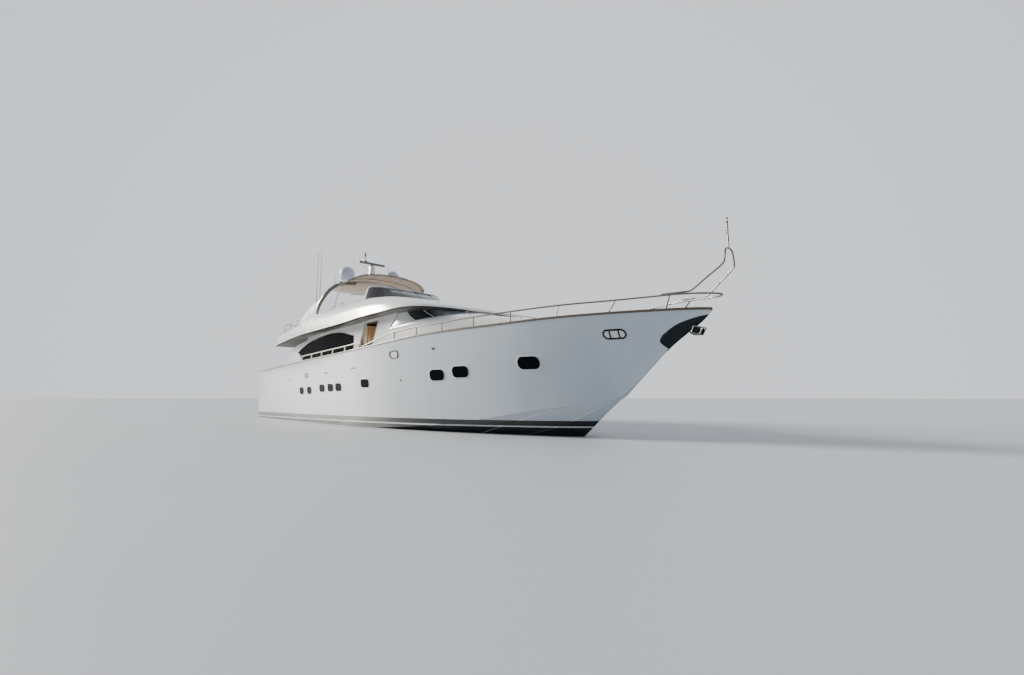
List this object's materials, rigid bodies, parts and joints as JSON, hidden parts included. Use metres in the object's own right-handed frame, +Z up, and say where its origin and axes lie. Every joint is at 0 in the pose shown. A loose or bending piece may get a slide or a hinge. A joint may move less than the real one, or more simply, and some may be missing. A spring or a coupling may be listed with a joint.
{
  "type": "flybridge motor yacht",
  "caption": "Flybridge motor yacht with a flared bow, raked deckhouse, fly brow with tinted deflector, radar arch, canopy, twin propellers and rudders.",
  "frame": {"origin": "on the centreline at the waterline, about amidships", "axes": "+X to the bow, +Y to port, +Z up; the waterline is z = 0"},
  "size_m": [28.3439, 6.63, 10.89],
  "materials": {
    "gelcoat": "glossy white gelcoat",
    "teak": "oiled teak",
    "steel": "polished stainless steel",
    "dark_steel": "dark polished steel plate",
    "trim": "satin cream paint",
    "bronze": "dull bronze",
    "tinted_glass": "dark tinted glass",
    "joinery": "varnished dark wood",
    "dome": "satin pale grey lilac",
    "canopy_fabric": "taupe woven canopy",
    "cushion": "sand coloured outdoor fabric"
  },
  "bodies": {
    "yacht": {"hull": "gelcoat", "bulwark_side_port": "gelcoat", "bulwark_side_stbd": "gelcoat", "bulwark_fore_port": "gelcoat", "bulwark_fore_stbd": "gelcoat", "stem_block": "gelcoat", "transom_wall": "gelcoat", "caprail": "teak", "swim_platform": "teak", "windlass": "steel", "anchor_plate": "dark_steel", "bow_roller": "steel", "bow_rail": "steel", "bulwark_rail_port": "trim", "bulwark_rail_stbd": "trim", "bow_staff": "steel", "shaft_bracket_port": "bronze", "shaft_bracket_stbd": "bronze", "fly_shell": "gelcoat", "house_side_port": "gelcoat", "house_side_stbd": "gelcoat", "aft_bulkhead": "gelcoat", "side_window_port": "tinted_glass", "side_window_stbd": "tinted_glass", "aft_window_port": "tinted_glass", "aft_window_stbd": "tinted_glass", "coachroof": "gelcoat", "windscreen": "tinted_glass", "wind_deflector": "tinted_glass", "radar_arch": "gelcoat", "dome_port": "dome", "dome_stbd": "dome", "bimini": "canopy_fabric", "bimini_frame": "steel", "fly_rail": "steel", "fly_console": "gelcoat", "fly_helm_seat": "cushion", "fly_dinette": "cushion", "fly_table": "teak", "fly_galley": "gelcoat", "saloon_sofa": "cushion", "saloon_cabinet": "joinery", "helm_console": "joinery", "helm_seats": "cushion", "cockpit_sofa": "cushion", "cockpit_table": "teak", "foredeck_sunpad": "cushion", "fly_ladder": "teak"},
    "screw_port": {"propeller_port": "bronze"},
    "screw_stbd": {"propeller_stbd": "bronze"},
    "rudder_port": {"rudder_port": "bronze"},
    "rudder_stbd": {"rudder_stbd": "bronze"},
    "scanner": {"scanner": "gelcoat"},
    "side_door_port": {"side_door_port": "joinery"},
    "side_door_stbd": {"side_door_stbd": "joinery"},
    "saloon_door_port": {"saloon_door_port": "tinted_glass"},
    "saloon_door_stbd": {"saloon_door_stbd": "tinted_glass"},
    "garage_door": {"garage_door": "gelcoat"},
    "passerelle": {"passerelle": "steel"},
    "foredeck_hatch": {"foredeck_hatch": "gelcoat"}
  },
  "joints": [
    {"name": "screw_port_spin", "type": "hinge", "parent": "yacht", "child": "screw_port", "pos_m": [-10.35, 1.35, -1.29], "axis": [0.9903, 0, 0.1392], "continuous": true},
    {"name": "screw_stbd_spin", "type": "hinge", "parent": "yacht", "child": "screw_stbd", "pos_m": [-10.35, -1.35, -1.29], "axis": [0.9903, 0, 0.1392], "continuous": true},
    {"name": "rudder_port_turn", "type": "hinge", "parent": "yacht", "child": "rudder_port", "pos_m": [-11.33, 1.35, -0.8], "axis": [0, 0, 1], "range_deg": [-35, 35]},
    {"name": "rudder_stbd_turn", "type": "hinge", "parent": "yacht", "child": "rudder_stbd", "pos_m": [-11.33, -1.35, -0.8], "axis": [0, 0, 1], "range_deg": [-35, 35]},
    {"name": "scanner_spin", "type": "hinge", "parent": "yacht", "child": "scanner", "pos_m": [-4.25, 0, 8.235], "axis": [0, 0, 1], "continuous": true},
    {"name": "side_door_port_slide", "type": "slide", "parent": "yacht", "child": "side_door_port", "axis": [-1, 0, 0], "range_m": [0, 1.15]},
    {"name": "side_door_stbd_slide", "type": "slide", "parent": "yacht", "child": "side_door_stbd", "axis": [-1, 0, 0], "range_m": [0, 1.15]},
    {"name": "saloon_door_port_slide", "type": "slide", "parent": "yacht", "child": "saloon_door_port", "axis": [0, 1, 0], "range_m": [0, 1.07]},
    {"name": "saloon_door_stbd_slide", "type": "slide", "parent": "yacht", "child": "saloon_door_stbd", "axis": [0, -1, 0], "range_m": [0, 1.07]},
    {"name": "garage_door_lift", "type": "hinge", "parent": "yacht", "child": "garage_door", "pos_m": [-12.43, 0, 1.9], "axis": [0, 1, 0], "range_deg": [0, 85]},
    {"name": "passerelle_slide", "type": "slide", "parent": "yacht", "child": "passerelle", "axis": [-1, 0, 0], "range_m": [0, 2]},
    {"name": "foredeck_hatch_lift", "type": "hinge", "parent": "yacht", "child": "foredeck_hatch", "pos_m": [11.2, 0, 2.7503], "axis": [0, -1, 0], "range_deg": [0, 80]}
  ],
  "couplings": [
    {"joint": "rudder_stbd_turn", "follows": "rudder_port_turn", "ratio": 1}
  ]
}
